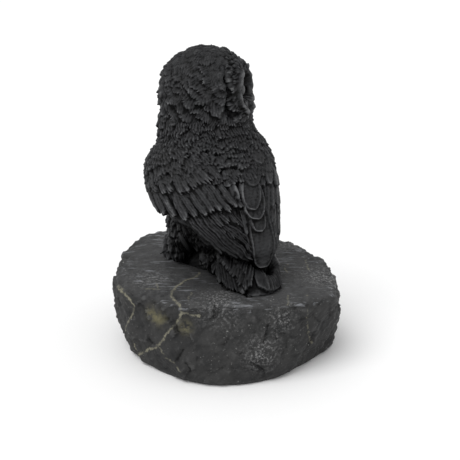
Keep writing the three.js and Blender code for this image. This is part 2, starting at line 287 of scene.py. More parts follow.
# Feathers: each has a tip, the directions along and across it, and a shape


def shape(length, width, lift=1.0, **more):
    """Sizes of a feather: its length, half its width, and how far its tip stands off."""
    made = {
        "length": length,
        "width": width,
        "lift": lift,
        "crown": 0.25,
        "strands": 3,
        "groove": 0.16,
        "ragged": 0.12,
        "round": 0.5,
        "rim": 0.0,
        "shaft": 0.0,
    }
    made.update(more)
    return made


def varied(form, amount=0.15):
    """The same feather a little longer or shorter, wider or narrower, prouder or flatter."""
    made = dict(form)
    for key in ("length", "width", "lift"):
        made[key] = form[key] * rng.uniform(1 - amount, 1 + amount)
    made["seed"] = rng.uniform(0, 50)
    return made


def frame_at(surface, u, v, inside):
    """A point of a surface, its outward normal there, and the direction in which v grows.

    `inside` is a point within the surface, which tells its outer side.
    """
    step = 1e-3
    u, v = np.float64(u), np.float64(v)
    tip = surface(u, v)
    along = surface(u, v + step) - surface(u, v - step)
    side = surface(u + step, v) - surface(u - step, v)
    normal = np.cross(side, along)
    normal /= np.linalg.norm(normal) + 1e-12
    if normal @ (tip - inside) < 0:
        normal = -normal
    return tip, normal, along


def lay(surface, u, v, turn, form, inside):
    """A feather with its tip at a place on a surface, pointing along v and turned by `turn` degrees."""
    tip, normal, along = frame_at(surface, u, v, inside)
    return aim(tip, normal, along, turn, form)


def aim(tip, normal, way, turn, form):
    along = way - normal * (way @ normal)
    along /= np.linalg.norm(along) + 1e-12
    side = np.cross(normal, along)
    a = math.radians(turn)
    ahead = along * math.cos(a) + side * math.sin(a)
    return tip, ahead, np.cross(normal, ahead), form


def laid(surface, inside, ends, lengthen=1.15, uneven=0.03, sway=0, **more):
    """Feathers given as the u and v of their root, the u and v of their tip, and half their width."""
    made = []
    for u0, v0, u1, v1, width in ends:
        v1 = min(v1, 0.997)
        root = surface(np.float64(u0), np.float64(v0))
        tip, normal, _ = frame_at(surface, u1, v1, inside)
        form = shape(lengthen * np.linalg.norm(tip - root), width, **more)
        made.append(aim(tip, normal, tip - root, rng.uniform(-sway, sway), varied(form, uneven)))
    return made


def row(surface, inside, v, count, form, slope=0.0, turn=0.0, jitter=0.1, sway=8, span=(0, 1)):
    """A row of feathers across a surface with their tips at v, which changes by `slope` from side to side."""
    made = []
    for i in range(count):
        u = mix(span[0], span[1], (i + 0.5 + rng.uniform(-jitter, jitter)) / count)
        place = v + slope * (u - 0.5) + 0.12 * jitter * rng.uniform(-1, 1)
        made.append(lay(surface, u, min(place, 0.998), turn + rng.uniform(-sway, sway), varied(form), inside))
    return made


def relief(points, feathers, ground, wander=1.0):
    """How far the highest feather over each point stands off the bare surface."""
    height = np.full(len(points), float(ground))
    bends = [0.16 * ripple(points, 2.4, seed) + 0.4 * ripple(points, 6.5, seed + 5) for seed in (21, 22, 23)]
    points = points + wander * np.stack(bends, axis=-1)
    for tip, ahead, across, form in feathers:
        away = points - tip
        near = np.nonzero(np.einsum("ij,ij->i", away, away) < (form["length"] + 1) ** 2)[0]
        if not len(near):
            continue
        away = away[near]
        t = 1 + away @ ahead / form["length"]
        r = away @ across / form["width"]
        strand = (r + 1) / 2 * form["strands"] + form["seed"]
        notch = np.cos(math.pi * strand) ** 2
        uneven = 0.5 + 0.5 * np.sin(7.3 * np.floor(strand + 0.5))
        reach = 1 - form["ragged"] * (0.6 * notch + 0.6 * uneven)
        taper = np.clip((t - form["round"]) / (1 - form["round"]), 0, 1)
        half = np.sqrt(np.clip(1 - taper**2, 0.0001, 1)) * np.minimum(1, 0.7 + 0.8 * np.clip(t, 0, 1))
        edge = np.minimum((half - np.abs(r)) * form["width"], (reach - t) * form["length"])
        over = (edge > 0) & (t > 0)
        top = (
            form["lift"] * t
            + form["crown"] * (1 - (r / half) ** 2)
            - form["groove"] * notch
            - 0.7 * form["lift"] * (1 - ease(0, EDGE, edge)) ** 2
            + form["rim"] * bump(edge - 0.6, 0.35)
            + form["shaft"] * bump(r * form["width"], 0.3)
        )
        height[near[over]] = np.maximum(height[near[over]], top[over])
    return height


# Meshes


def mesh_object(name, points, faces, material=None):
    """An object from points in millimetres, with its faces turned outwards."""
    points = np.asarray(points, float) / 1000
    mesh = bpy.data.meshes.new(name)
    mesh.from_pydata(points.tolist(), [], faces)
    mesh.validate()
    mesh.calc_loop_triangles()
    corners = np.array([t.vertices for t in mesh.loop_triangles])
    a, b, c = (points[corners[:, k]] for k in range(3))
    if np.einsum("ij,ij->", a, np.cross(b, c)) < 0:
        mesh.flip_normals()
    made = bpy.data.objects.new(name, mesh)
    bpy.context.scene.collection.objects.link(made)
    if material:
        mesh.materials.append(material)
    return made


def quads(rows, columns, first=0, wrap=False):
    """Faces of a grid whose points are numbered row by row."""
    reach = columns if wrap else columns - 1
    i, j = np.meshgrid(np.arange(rows - 1), np.arange(reach), indexing="ij")
    k = (j + 1) % columns
    corners = np.stack([i * columns + j, i * columns + k, (i + 1) * columns + k, (i + 1) * columns + j], axis=-1)
    return (corners.reshape(-1, 4) + first).tolist()


def grid_normals(grid, inside, wrap=False):
    if wrap:
        du = np.roll(grid, -1, axis=1) - np.roll(grid, 1, axis=1)
    else:
        du = np.gradient(grid, axis=1)
    dv = np.gradient(grid, axis=0)
    normal = np.cross(du, dv)
    normal /= np.linalg.norm(normal, axis=-1, keepdims=True) + 1e-12
    outward = np.einsum("ijk,ijk->ij", normal, grid - inside)
    return normal * (1 if np.median(outward) > 0 else -1)


def lattice(surface, width, length):
    """u and v of a grid at the working pitch over a surface of about this size."""
    columns, rows = int(width / PITCH), int(length / PITCH)
    return np.meshgrid(np.linspace(0, 1, columns), np.linspace(0, 1, rows))


def carved_slab(name, surface, lining, size, feathers, ground, inside, wander=1.0, grain=0.08):
    """A closed slab whose outer face carries feathers and whose lining is plain."""
    u, v = lattice(surface, *size)
    base = surface(u, v)
    rows, columns = u.shape
    height = relief(base.reshape(-1, 3), feathers, ground, wander).reshape(rows, columns)
    height = height + grain * ripple(base, 1.6, 5)
    outer = base + grid_normals(base, inside) * height[..., None]
    inner = lining(u, v)
    first = rows * columns
    faces = quads(rows, columns) + quads(rows, columns, first)
    number = np.arange(first).reshape(rows, columns)
    for line in (number[0], number[-1], number[:, 0], number[:, -1]):
        faces += [(int(a), int(b), int(b) + first, int(a) + first) for a, b in zip(line[:-1], line[1:])]
    return outward(name, np.concatenate([outer.reshape(-1, 3), inner.reshape(-1, 3)]), faces)


def outward(name, points, faces):
    """A closed mesh from faces whose winding is not yet consistent."""
    made = mesh_object(name, points, faces)
    bpy.context.view_layer.objects.active = made
    import bmesh

    work = bmesh.new()
    work.from_mesh(made.data)
    bmesh.ops.recalc_face_normals(work, faces=work.faces[:])
    work.to_mesh(made.data)
    work.free()
    return made


def ball(name, points_of, columns, rows):
    """A closed ball whose points go to points_of(turn, rise)."""
    turn, rise = np.meshgrid(np.arange(columns) / columns, (np.arange(rows) + 0.5) / rows)
    grid = points_of(turn, rise)
    first = rows * columns
    points = np.concatenate([grid.reshape(-1, 3), grid[0].mean(0)[None], grid[-1].mean(0)[None]])
    faces = quads(rows, columns, wrap=True)
    faces += [((j + 1) % columns, j, first) for j in range(columns)]
    last = (rows - 1) * columns
    faces += [(last + j, last + (j + 1) % columns, first + 1) for j in range(columns)]
    return mesh_object(name, points, faces)


def carved_ball(name, surface, columns, rows, feathers, inside, ground=0.0, grain=0.08, lumps=0.0):
    def points_of(turn, rise):
        base = surface(turn, rise)
        shown = relief(base.reshape(-1, 3), feathers, ground).reshape(turn.shape)
        normal = grid_normals(base, inside, wrap=True)
        uneven = grain * ripple(base, 1.6, 9) + lumps * ripple(base, 4.5, 12)
        return base + normal * (shown + uneven)[..., None]

    return ball(name, points_of, columns, rows)


# Plumage of each part

HEART = on_stone(1.5, -9, 40)
SKULL = on_stone(*HEAD_MIDDLE)


def body_plumage():
    made = []
    for k, height in enumerate(np.arange(73, 8, -2.8)):
        nape = height > 62
        girth = 2 * math.pi * through(BODY, height, 3) * H
        count = int(girth / (5.2 if nape else 4.0))
        if nape:
            down = shape(6, 2.3, 1.5, strands=5, ragged=0.16, groove=0.45, crown=0.4, round=0.6)
        else:
            down = shape(6, 2.1, 1.4, ragged=0.26, groove=0.5, crown=0.35)
        shift = 0.5 * (k % 2) / count
        made += row(body_surface, HEART, 1 - height / BODY_TOP, count, down, span=(shift, 1 + shift), sway=16)
    return made


def cape_plumage():
    made = []
    nape = shape(5.5, 2.4, 1.5, strands=5, ragged=0.16, groove=0.45, crown=0.35, round=0.6)
    for k, height in enumerate((72.5, 69.5, 66.5)):
        shift = 0.03 * (k % 2)
        v = (CAPE_TOP - height) / (CAPE_TOP - CAPE_BOTTOM)
        made += row(cape_surface, HEART, v, 9, nape, sway=14, jitter=0.25, span=(shift, 0.97 + shift))
    for height in np.arange(65, CAPE_BOTTOM + 1, -1.45):
        v = (CAPE_TOP - height) / (CAPE_TOP - CAPE_BOTTOM)
        wrinkle = shape(3.1, 2.7, 1.3, strands=4, ragged=0.34, groove=0.15, crown=0.1, round=0.75)
        shift = rng.uniform(0, 0.06)
        made += row(cape_surface, HEART, v, 13, wrinkle, sway=14, jitter=0.5, span=(shift, 0.94 + shift))
    last = shape(4.5, 2.0, 1.6, ragged=0.2, groove=0.45, strands=3, crown=0.3)
    made += row(cape_surface, HEART, 0.985, 15, last, sway=14, jitter=0.25)
    return made


# Root and tip of each feather along and across the wings, and half its width
MEDIAN_COVERTS = [
    (0.1, 0.22, 0.12, 0.34, 1.7),
    (0.19, 0.22, 0.22, 0.34, 1.7),
    (0.27, 0.24, 0.33, 0.35, 1.5),
    (0.41, 0.23, 0.4, 0.36, 1.5),
    (0.48, 0.24, 0.47, 0.37, 1.5),
    (0.57, 0.24, 0.55, 0.38, 1.6),
    (0.64, 0.23, 0.61, 0.38, 1.5),
    (0.7, 0.23, 0.69, 0.37, 1.5),
    (0.76, 0.21, 0.76, 0.37, 1.5),
    (0.83, 0.2, 0.83, 0.38, 1.5),
    (0.9, 0.22, 0.91, 0.38, 1.5),
]
GREATER_COVERTS = [
    (0.08, 0.33, 0.03, 0.5, 1.8),
    (0.26, 0.31, 0.11, 0.51, 1.9),
    (0.36, 0.35, 0.21, 0.54, 1.7),
    (0.44, 0.36, 0.27, 0.57, 2.2),
    (0.54, 0.38, 0.42, 0.56, 1.7),
    (0.6, 0.38, 0.53, 0.56, 1.7),
    (0.67, 0.36, 0.63, 0.55, 2.1),
    (0.74, 0.37, 0.72, 0.55, 1.6),
    (0.81, 0.38, 0.81, 0.58, 1.6),
    (0.88, 0.39, 0.9, 0.56, 1.7),
    (0.95, 0.41, 0.98, 0.57, 1.6),
]
PRIMARIES = [
    (0.17, 0.5, 0.04, 0.8, 1.5),
    (0.31, 0.56, 0.13, 0.84, 1.6),
    (0.4, 0.56, 0.22, 0.89, 1.3),
    (0.47, 0.57, 0.33, 0.93, 1.3),
    (0.53, 0.59, 0.47, 0.97, 1.2),
    (0.6, 0.65, 0.7, 0.97, 1.2),
    (0.75, 0.7, 0.9, 0.98, 1.2),
]
INNER_SECONDARIES = [
    (0.63, 0.53, 0.59, 0.66, 1.2),
    (0.69, 0.54, 0.72, 0.65, 1.2),
    (0.58, 0.59, 0.54, 0.72, 1.2),
    (0.76, 0.55, 0.83, 0.68, 1.2),
    (0.62, 0.62, 0.6, 0.77, 1.2),
    (0.85, 0.57, 0.92, 0.72, 1.2),
    (0.71, 0.66, 0.7, 0.81, 1.2),
    (0.74, 0.73, 0.67, 0.88, 1.2),
    (0.91, 0.62, 0.93, 0.78, 1.2),
    (0.85, 0.74, 0.82, 0.88, 1.2),
]
ROUND_COVERTS = [
    (0.86, 0.13, 0.83, 0.27, 3.4),
    (0.89, 0.24, 0.89, 0.42, 4.0),
    (0.67, 0.24, 0.69, 0.4, 2.4),
    (0.52, 0.27, 0.56, 0.41, 2.2),
]
RINGED_FEATHERS = [
    (0.82, 0.56, 0.82, 0.73, 3.8),
    (0.86, 0.43, 0.87, 0.635, 4.9),
    (0.9, 0.36, 0.9, 0.575, 4.3),
]
OUTER_STRIPS = [
    (0.71, 0.4, 0.69, 0.59, 1.8),
    (0.59, 0.4, 0.55, 0.59, 1.6),
    (0.45, 0.4, 0.42, 0.59, 1.8),
    (0.3, 0.38, 0.28, 0.57, 2.0),
    (0.15, 0.36, 0.13, 0.55, 2.0),
    (0.67, 0.57, 0.6, 0.74, 1.4),
    (0.56, 0.58, 0.46, 0.76, 1.4),
    (0.44, 0.56, 0.34, 0.78, 1.6),
    (0.3, 0.56, 0.22, 0.78, 1.8),
    (0.15, 0.55, 0.08, 0.76, 1.8),
    (0.55, 0.68, 0.36, 0.92, 1.2),
    (0.45, 0.7, 0.24, 0.93, 1.2),
    (0.32, 0.7, 0.14, 0.92, 1.2),
    (0.2, 0.7, 0.05, 0.9, 1.2),
]


def underlayer(surface, rows, width, slope=0.0):
    """Long strands under the feathers of a wing, which fill what shows between them."""
    strand = shape(10, width, 0.5, strands=2, groove=0.2, ragged=0.1, crown=0.4, round=0.7)
    made = []
    for v in rows:
        made += row(surface, HEART, v, 11, strand, slope=slope, sway=5, jitter=0.3)
    return made


def left_wing_plumage():
    surface = wing_surface(1)
    made = underlayer(surface, (0.34, 0.46, 0.58, 0.7, 0.82, 0.93, 0.998), 1.7)
    lesser = shape(3.6, 1.9, 1.3, ragged=0.4, groove=0.25, round=0.75)
    for s in np.arange(0.04, 0.31, 0.02):
        made += row(surface, HEART, s, 14, lesser, slope=-0.08, turn=-14, sway=24, jitter=0.4)
    coverts = {"uneven": 0.17, "sway": 7}
    made += laid(surface, HEART, MEDIAN_COVERTS, lift=1.5, strands=3, groove=0.26, ragged=0.2, crown=0.35, round=0.6, **coverts)
    made += laid(
        surface, HEART, GREATER_COVERTS, lift=2.1, strands=4, groove=0.3, ragged=0.1, crown=0.6, round=0.5, **coverts
    )
    made += laid(
        surface, HEART, INNER_SECONDARIES, lift=1.6, strands=3, groove=0.45, ragged=0.16, crown=0.5, round=0.6, **coverts
    )
    made += laid(surface, HEART, PRIMARIES, lift=1.5, strands=3, groove=0.45, ragged=0.1, crown=1.0, round=0.8, uneven=0.08)
    return made


def right_wing_plumage():
    surface = wing_surface(-1)
    made = underlayer(surface, (0.3, 0.42, 0.54, 0.66, 0.78, 0.9, 0.998), 1.8)
    lesser = shape(4.2, 2.0, 1.2, ragged=0.26, groove=0.4, round=0.55)
    for s in np.arange(0.04, 0.3, 0.024):
        made += row(surface, HEART, s, 13, lesser, slope=-0.05, sway=22, jitter=0.4, span=(0, 0.96))
    smooth = {"strands": 1, "groove": 0.04, "ragged": 0, "crown": 0.25}
    made += laid(surface, HEART, ROUND_COVERTS, lift=1.2, round=0.55, rim=0.15, **smooth)
    made += laid(
        surface, HEART, OUTER_STRIPS, lift=0.7, strands=3, groove=0.35, ragged=0.1, crown=0.3, round=0.75, uneven=0.1
    )
    made += laid(surface, HEART, [(0.84, 0.5, 0.62, 0.995, 5.3)], lift=1.3, round=0.62, rim=0.5, **smooth)
    made += laid(surface, HEART, RINGED_FEATHERS, lift=2.0, round=0.45, rim=0.5, **smooth)
    return made


def tail_plumage():
    inside = on_stone(-3, 12, 3)
    made = []
    # Courses down the left wall, each with its root and tip across the tail and where it starts and how far it runs
    courses = ((0.42, 0.27, 0.0, 0.7, 0.24), (0.3, 0.14, 0.02, 0.78, 0.2), (0.2, 0.015, 0.04, 0.84, 0.16))
    for root, end, first, last, run in courses:
        for k in range(17):
            v = mix(first, last, (k + rng.uniform(-0.3, 0.3)) / 16)
            ends = [(root, max(v, 0), end, min(max(v, 0) + run, 1), rng.uniform(0.75, 1.25))]
            made += laid(
                tail_surface, inside, ends, lengthen=1.35, uneven=0.15, sway=5,
                lift=1.2, strands=2, groove=0.45, ragged=0.14, crown=0.6, round=0.75,
            )
    strand = shape(14, 1.1, 1.0, ragged=0.14, groove=0.4, strands=2, crown=0.5, round=0.7)
    for s in (0.4, 0.7, 0.99):
        made += row(tail_surface, inside, s, 13, strand, sway=4, jitter=0.3, span=(0.5, 1))
    patch = shape(10, 6, 1.1, ragged=0.03, groove=0.04, strands=1, crown=0.1, round=0.6)
    made += row(tail_surface, inside, 0.99, 1, patch, span=(0.52, 0.68), sway=1)
    return made


def face_point(side, spread, turn):
    """A point of the face at a distance and direction from the eye, or nothing where that is off the face."""
    left, up = side * EYE_SIDE + spread * math.cos(turn), EYE_RISE + spread * math.sin(turn)
    size = math.hypot(left, up)
    if left * side < 0.04 or size > 0.985:
        return None
    ahead = math.sqrt(1 - size * size)
    if math.degrees(math.acos(ahead)) > RUFF_ANGLE - 8:
        return None
    reach = head_reach(left, ahead, np.float64(up))
    return on_head(left * reach, ahead * reach, up * reach)


def head_plumage():
    made = []
    count = 950
    face = on_head(0, 1, 0) - on_head(0, 0, 0)
    face /= np.linalg.norm(face)
    for k in range(count):
        up = 1 - 2 * (k + 0.5) / count
        a = k * 2.399963
        level = math.sqrt(1 - up * up)
        left, ahead = level * math.sin(a), -level * math.cos(a)
        if math.degrees(math.acos(ahead)) < RUFF_ANGLE - 7 or up < -0.85:
            continue
        nape = up < -0.12 and ahead < 0.05
        if nape and k % 2:
            continue
        soft = ease(0.35, 0.8, np.float64(up))
        if nape:
            form = shape(5.5, 2.3, 1.5, ragged=0.16, groove=0.34, crown=0.5, strands=5, round=0.6)
        else:
            depth = mix(1.3, 0.8, soft) * (0.65 if ahead > -0.15 else 1)
            form = shape(4.4, 2.0, depth, ragged=0.2, groove=0.24, crown=0.35, strands=5, round=0.6)
        reach = head_reach(left, ahead, np.float64(up))
        tip = on_head(left * reach, ahead * reach, up * reach)
        normal = tip - SKULL
        normal /= np.linalg.norm(normal)
        way = np.array([0, 0, -1.0]) - 0.35 * face
        made.append(aim(tip, normal, way, rng.uniform(-45, 45) * (0.4 if nape else 1), varied(form, 0.35)))
    for side in (-1, 1):
        for ring, spread in enumerate((0.58, 0.64, 0.71, 0.79, 0.87, 0.95)):
            steps = 46 + 5 * ring
            for k in range(steps):
                a = 2 * math.pi * (k + 0.5 * (ring % 2)) / steps + rng.uniform(-0.06, 0.06)
                tip, near = face_point(side, spread, a), face_point(side, spread - 0.03, a)
                if tip is None or near is None:
                    continue
                barb = shape(min(4.2, 17 * (spread - 0.41)), 0.75, 1.0, ragged=0.2, groove=0.3, strands=2, crown=0.2, round=0.7)
                normal = tip - SKULL
                normal /= np.linalg.norm(normal)
                way = tip - near
                way /= np.linalg.norm(way)
                made.append(aim(tip, normal, way + (0, 0, -0.3), rng.uniform(-22, 22), varied(barb, 0.35)))
    beard = shape(5.5, 0.48, 1.0, ragged=0.1, groove=0.05, strands=1, crown=0.3, round=0.7)
    chin = on_head(0, 17, -5)
    for _ in range(300):
        a, up = rng.uniform(-1.15, 1.15), rng.uniform(-0.68, -0.32)
        left, ahead = math.sqrt(1 - up * up) * math.sin(a), math.sqrt(1 - up * up) * math.cos(a)
        reach = head_reach(left, ahead, np.float64(up))
        tip = on_head(left * reach, ahead * reach, up * reach)
        normal = tip - SKULL
        normal[2] = 0
        normal /= np.linalg.norm(normal)
        made.append(aim(tip, normal, tip - chin, rng.uniform(-8, 8), varied(beard, 0.35)))
    return made


# Down that the legs and the tail share: middle, half sizes, lean towards the front and turn round +Z
THIGH = ((13.6, -13, 24), (8, 11, 15), 0.3, 0)
SHANK = ((12.8, -20.5, 10.2), (5.4, 7, 10.4), 0.12, 0)
INSTEP = ((13.4, -29, 3.8), (4.6, 6.8, 5.6), 0, 0)
HAUNCH = ((7.5, -17.5, 0.6), (4.3, 14.5, 7.2), 0, 22)
UNDERTAIL = ((6.6, 0.6, 8.6), (4.6, 7, 7.6), 0, 0)
HEEL = (11, -22)


def tuft_surface(side, middle, half, lean, turned):
    """An ellipsoid of down on the owl's left or right side, with u round it and v from its top."""
    sine, cosine = math.sin(side * math.radians(turned)), math.cos(math.radians(turned))

    def surface(u, v):
        x, y, z = heading(u, 1 - v)
        across, along, up = half[0] * x, half[1] * y, half[2] * z
        left = side * middle[0] + across * cosine - along * sine
        back = middle[1] + across * sine + along * cosine + lean * up
        return on_stone(left, back, np.maximum(middle[2] + up, 0))

    return surface


def leg(side):
    """Thigh, shank, instep, haunch and undertail down of one side, and three toes with their claws."""
    made = []
    hairs = shape(5, 1.4, 1.0, ragged=0.18, groove=0.4, strands=2, crown=0.4, round=0.7)
    sleek = shape(14, 3, 0.4, ragged=0.05, groove=0.06, strands=2, crown=0.2, round=0.8)
    lobes = shape(8, 2.0, 1.6, ragged=0.08, groove=0.5, strands=3, crown=0.6, round=0.6)
    knobs = shape(3.2, 1.7, 0.9, ragged=0.1, groove=0.25, strands=2, crown=0.5, round=0.4)
    parts = (
        ("thigh", THIGH, hairs, 12, 15, 0.1),
        ("shank", SHANK, hairs, 8, 10, 0.15),
        ("instep", INSTEP, knobs, 7, 11, 0.5),
        ("haunch", HAUNCH, sleek, 2, 7, 0.12),
        ("undertail", UNDERTAIL, lobes, 3, 11, 0.1),
    )
    for name, sizes, form, rows, count, lumps in parts:
        surface = tuft_surface(side, *sizes)
        inside = on_stone(side * sizes[0][0], *sizes[0][1:])
        feathers = []
        for k in range(rows):
            feathers += row(surface, inside, 0.14 + 0.78 * k / rows, count, form, sway=12, jitter=0.25)
        columns = int(2 * math.pi * sizes[1][1] * H / PITCH)
        bottom_up = lambda turn, rise, surface=surface: surface(turn, 1 - rise)
        made.append(carved_ball(name, bottom_up, columns, max(columns // 2, 40), feathers, inside, lumps=lumps))
    radius = TOE_RADIUS / H
    for toe in (-1, 0, 1):
        splay = math.radians(side * 12 + 26 * toe)

        def toe_points(turn, rise, splay=splay):
            x, y, z = heading(turn, rise)
            reach = 6.5 * z + 5.5
            knuckle = 1 + 0.12 * np.cos(9 * z) + 0.05 * np.sin(14 * math.pi * turn) * np.cos(23 * z)
            return on_stone(
                side * HEEL[0] + reach * math.sin(splay) + radius * knuckle * x * math.cos(splay),
                HEEL[1] - reach * math.cos(splay) + radius * knuckle * x * math.sin(splay),
                np.maximum(radius * (0.8 + knuckle * y), 0),
            )

        made.append(ball("toe", toe_points, 40, 48))

        def claw_points(turn, rise, splay=splay):
            x, y, z = heading(turn, rise)
            reach = 12.2 + 2.0 * z
            thick = 0.34 * radius * (1 - 0.75 * rise)
            return on_stone(
                side * HEEL[0] + reach * math.sin(splay) + thick * x * math.cos(splay),
                HEEL[1] - reach * math.cos(splay) + thick * x * math.sin(splay),
                np.maximum(0.8 * radius * (1 - rise) + thick * (1 + y), 0),
            )

        made.append(ball("claw", claw_points, 16, 16))
    return made


def eye_points(side):
    middle = on_head(side * 6.3, 11.9, 0.7)
    return lambda turn, rise: middle + EYE_RADIUS * np.stack(heading(turn, rise), axis=-1)


def beak_points(turn, rise):
    a = 2 * math.pi * turn
    down = 1 - rise
    girth = 2.6 * np.sqrt(np.sin(math.pi * rise)) * (0.4 + 0.6 * rise)
    out = 17.0 + 1.3 * np.sin(math.pi * down**0.8) - 0.9 * down
    return on_head(girth * np.sin(a), out - girth * np.cos(a), 2.5 - down * BEAK_LENGTH / H)


# Upper and lower end of the smooth feather that hangs from the left thigh
HANGING = ((18.8, -7.3, 19.4), (14.4, -5.6, 12.1))


def hanging_points(turn, rise):
    x, y, z = heading(turn, rise)
    share = 0.5 - 0.5 * z
    middle = mix(np.array(HANGING[0]), np.array(HANGING[1]), share[..., None])
    wide = 1.8 * (1 - 0.45 * share)
    return on_stone(middle[..., 0] + 1.2 + 1.4 * x, middle[..., 1] + wide * y, middle[..., 2] + 0.6 * wide * y + z)


def carved_owl():
    """Every part of the owl as one closed mesh."""
    wing_size = (36, 78)
    cape_size = (56, 34)
    parts = [
        carved_ball(
            "body", lambda turn, rise: body_surface(turn, 1 - rise), int(135 / PITCH), int(72 / PITCH), body_plumage(), HEART
        ),
        carved_ball("head", head_surface, int(112 / PITCH), int(70 / PITCH), head_plumage(), SKULL, lumps=0.3),
        carved_slab(
            "cape", cape_surface, lambda u, v: on_body(mix(CAPE_SPREAD, -CAPE_SPREAD, u), mix(CAPE_TOP, CAPE_BOTTOM, v), -4),
            cape_size, cape_plumage(), -0.6, HEART,
        ),
        carved_slab("left_wing", wing_surface(1), wing_lining(1), wing_size, left_wing_plumage(), -0.6, HEART, 0.45),
        carved_slab("right_wing", wing_surface(-1), wing_lining(-1), wing_size, right_wing_plumage(), -0.6, HEART, 0.3),
        carved_slab(
            "tail", tail_surface, lambda u, v: on_stone(-2 + 0.5 * (1 - 2 * u) * 12, through(TAIL, v, 1) - 2, 0.3),
            (46, 30), tail_plumage(), -0.6, on_stone(0, 12, 3), 0.6,
        ),
        ball("eye", eye_points(1), 48, 32),
        ball("eye", eye_points(-1), 48, 32),
        ball("beak", beak_points, 48, 40),
        ball("down", hanging_points, 40, 50),
        *leg(1),
        *leg(-1),
    ]
    owl = parts[0]
    for piece in parts[1:]:
        join = owl.modifiers.new("join", "BOOLEAN")
        join.operation = "UNION"
        join.solver = "MANIFOLD"
        join.object = piece
    whole = bpy.data.meshes.new_from_object(owl.evaluated_get(bpy.context.evaluated_depsgraph_get()))
    for piece in parts:
        bpy.data.objects.remove(piece)
    made = bpy.data.objects.new("owl", whole)
    bpy.context.scene.collection.objects.link(made)
    return made


owl = carved_owl()
print("owl faces", len(owl.data.polygons))


# The rock

STONE_TOP = [1.04, 0.92, 0.88, 0.94, 1.14, 1.09, 1.0, 1.04, 1.14, 1.23, 1.17, 1.02]
STONE_MIDDLE = [1.0, 0.95, 0.95, 0.99, 1.06, 1.12, 1.09, 1.04, 1.1, 1.17, 1.14, 1.04]
STONE_FOOT = [0.9, 0.9, 0.94, 0.95, 0.94, 1.07, 1.08, 1.0, 1.05, 1.1, 1.08, 0.97]

# Cream veins, as points on the rock
VEINS = [
    [(10, 3.6, 31), (13.4, 7.4, 31), (18, 8.4, 31), (23.9, 12.8, 31), (26.9, 16.4, 31), (28.9, 20.3, 31)],
    [(28.9, 20.3, 31), (28.6, 24.2, 30.5), (28.1, 26.9, 30), (28, 28.4, 27.8), (28.6, 27.8, 25.7)],
    [(28.6, 27.8, 25.7), (30.3, 26.1, 22), (32.6, 24.8, 19), (34.1, 23.4, 15.6), (35.2, 21, 12.2)],
    [(35.2, 21, 12.2), (36.7, 15.5, 8.8), (37.8, 7.4, 3.1)],
    [(28, 28.4, 27.8), (25.7, 30.3, 27.4), (23, 32.3, 27.3)],
    [(42.2, 0.9, 29.6), (41.6, 8, 29), (41.3, 10.4, 28), (40.7, 11.7, 26), (40.8, 9.2, 20), (40.2, 5, 14)],
    [(40.2, 5, 14), (39.4, 4.6, 9.4), (38.6, 6.3, 5.7), (37.9, 8.8, 3.8)],
]
HAIRLINES = [
    [(34.4, 22, 12.2), (32.6, 23.4, 9), (30.7, 26.4, 7.6), (28.7, 29.2, 5.2)],
    [(-17, 39.8, 31), (-14.4, 45.3, 27.8), (-15, 44.5, 22.5), (-16.4, 43, 16.7), (-19.7, 39.8, 10.8)],
    [(-10.6, 36.8, 31), (-7.6, 42.6, 30.4)],
    [(-33.5, 7.2, 31), (-31, 14, 31), (-28.9, 19.6, 31)],
    [(-24.4, 10.9, 31), (-21.4, 13.9, 31), (-20.6, 17.9, 31)],
    [(20.6, 20.3, 31), (23.3, 23, 31), (24.6, 26, 30.9)],
    [(28.9, 5.3, 31), (30.3, 10.8, 31)],
    [(35.3, 9.5, 31), (32.6, 10.7, 31), (29.9, 12, 31)],
    [(-30, -30, 31), (-26, -36, 28), (-27, -36, 18), (-22, -38, 8)],
    [(20, -34, 30), (18, -38, 20), (24, -34, 12), (22, -36, 3)],
]
CRACKS = [
    [(0.4, 42.7, 24), (1.5, 43.2, 19.7), (2.5, 43.6, 17.7)],
    [(7.2, 42.8, 9.8), (4.4, 42.9, 7.6), (1.8, 42.6, 5.7)],
    [(28.5, 30, 13.8), (29.5, 29.4, 11.7), (30.4, 27.7, 8.6)],
    [(27.9, 31, 8.9), (26.8, 32.3, 7)],
    [(-38, -20, 22), (-36, -24, 16), (-38, -20, 9)],
]
OLIVE_PATCHES = [(36, 18.9, 25), (34, 21.8, 23.8), (26.9, 29.3, 22.4)]
DUST = [
    (-31.3, 27, 31, 9),
    (30, 2, 31, 7),
    (14, 30, 31, 8),
    (3.4, 44, 12.8, 6),
    (-4, 46.8, 25.5, 5),
    (15.8, 44.4, 25, 4),
    (-36, -10, 30, 8),
]


def distance_to(points, normals, lines):
    """Distance along a surface from each of its points to the nearest of some broken lines."""
    nearest = np.full(len(points), 99.0)
    for line in lines:
        for a, b in zip(line[:-1], line[1:]):
            a, b = np.array(a, float), np.array(b, float)
            along = b - a
            t = np.clip((points - a) @ along / (along @ along), 0, 1)
            away = points - (a + t[:, None] * along)
            away -= 0.8 * np.einsum("ij,ij->i", away, normals)[:, None] * normals
            nearest = np.minimum(nearest, np.linalg.norm(away, axis=1))
    return nearest


def facets(points, size, seed):
    """Broken planes of about this size, each tilted its own way."""
    sites = np.random.default_rng(seed)
    count = int(5.2e4 / size**2 / 4)
    ring = sites.uniform(0, 2 * math.pi, count)
    middle = np.stack([43 * np.cos(ring), 43 * np.sin(ring), sites.uniform(-2, 33, count)], axis=-1)
    tilt = sites.normal(size=(count, 3)) * 0.09
    depth = np.full(len(points), -9.0)
    gap = np.full(len(points), 99.0)
    for at, lean in zip(middle, tilt):
        away = points - at
        far = np.linalg.norm(away, axis=1)
        plane = away @ lean
        closer = far < gap
        depth = np.where(closer, plane, depth)
        gap = np.where(closer, far, gap)
    return depth


